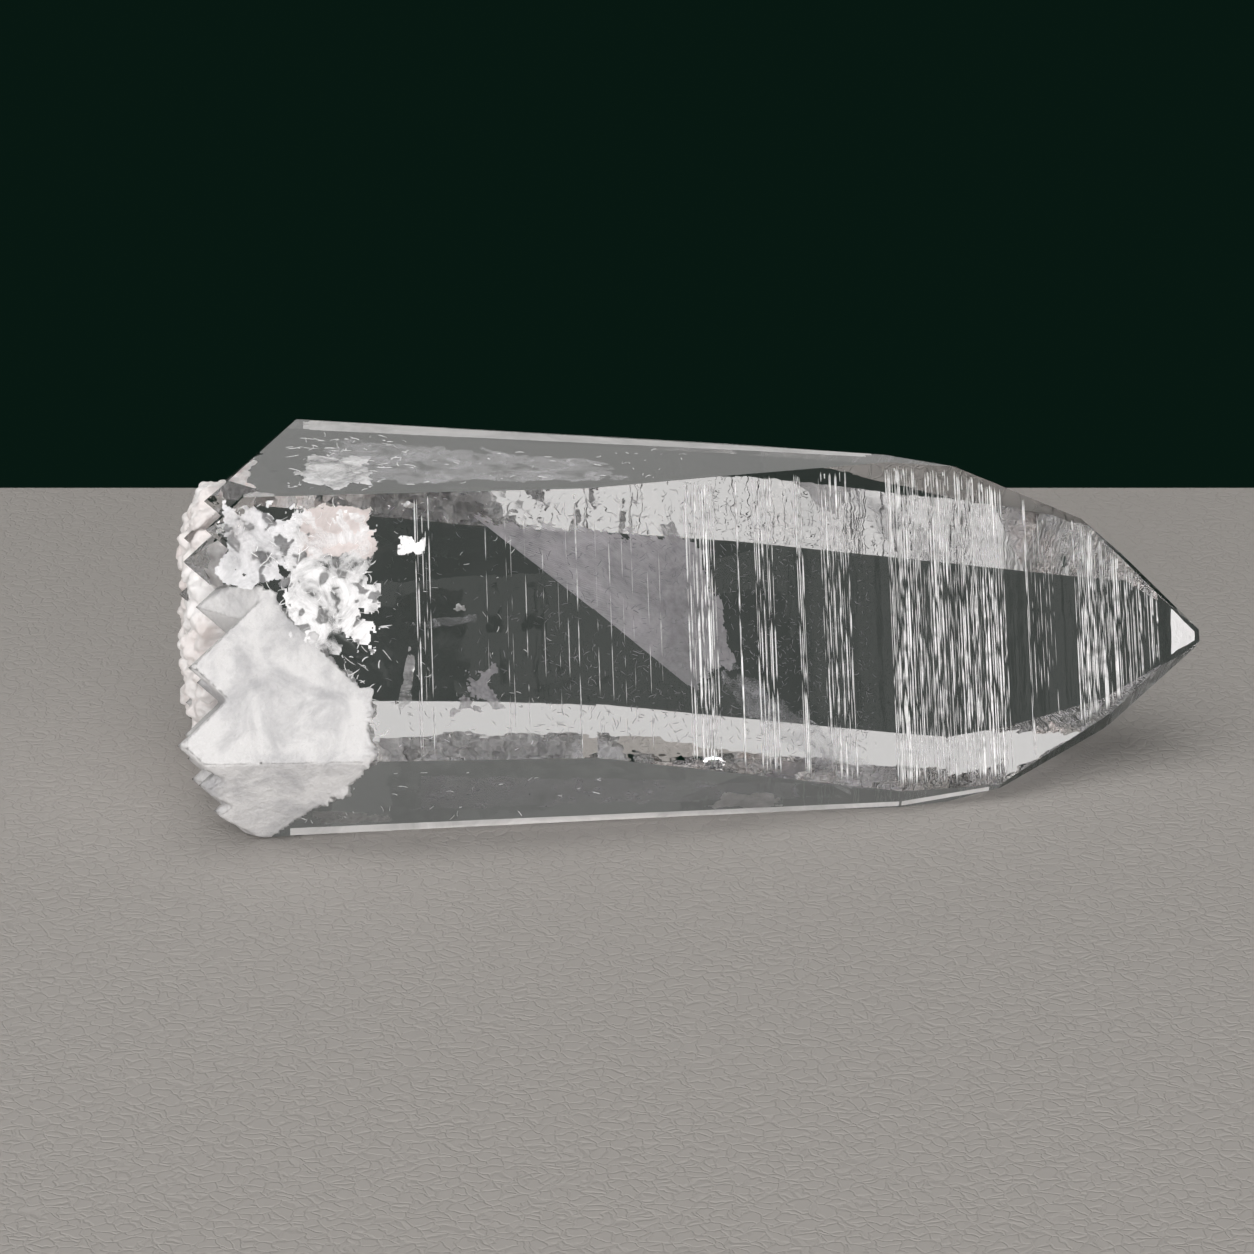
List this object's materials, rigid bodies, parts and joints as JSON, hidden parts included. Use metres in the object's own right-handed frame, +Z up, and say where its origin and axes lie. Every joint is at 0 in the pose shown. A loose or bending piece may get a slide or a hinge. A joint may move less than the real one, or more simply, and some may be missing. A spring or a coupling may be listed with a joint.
{
  "type": "quartz crystal point",
  "caption": "Clear quartz crystal lying on one prism face, with growth ledges across its faces, a wedge-shaped tip and a milky, knobbly broken end.",
  "frame": {"origin": "middle of the bounding box's bottom, on the surface the crystal lies on", "axes": "+X along the crystal's c axis towards its tip, +Y to the back, +Z up"},
  "size_m": [0.1018, 0.0478, 0.0322],
  "materials": {
    "clear_quartz": "natural crystal faces, glassy, with frosted growth ledges",
    "milky_quartz": "milky, translucent, icy",
    "crust": "pinkish white, knobbly, satin"
  },
  "bodies": {
    "root": {"quartz_point": "clear_quartz"}
  },
  "joints": []
}
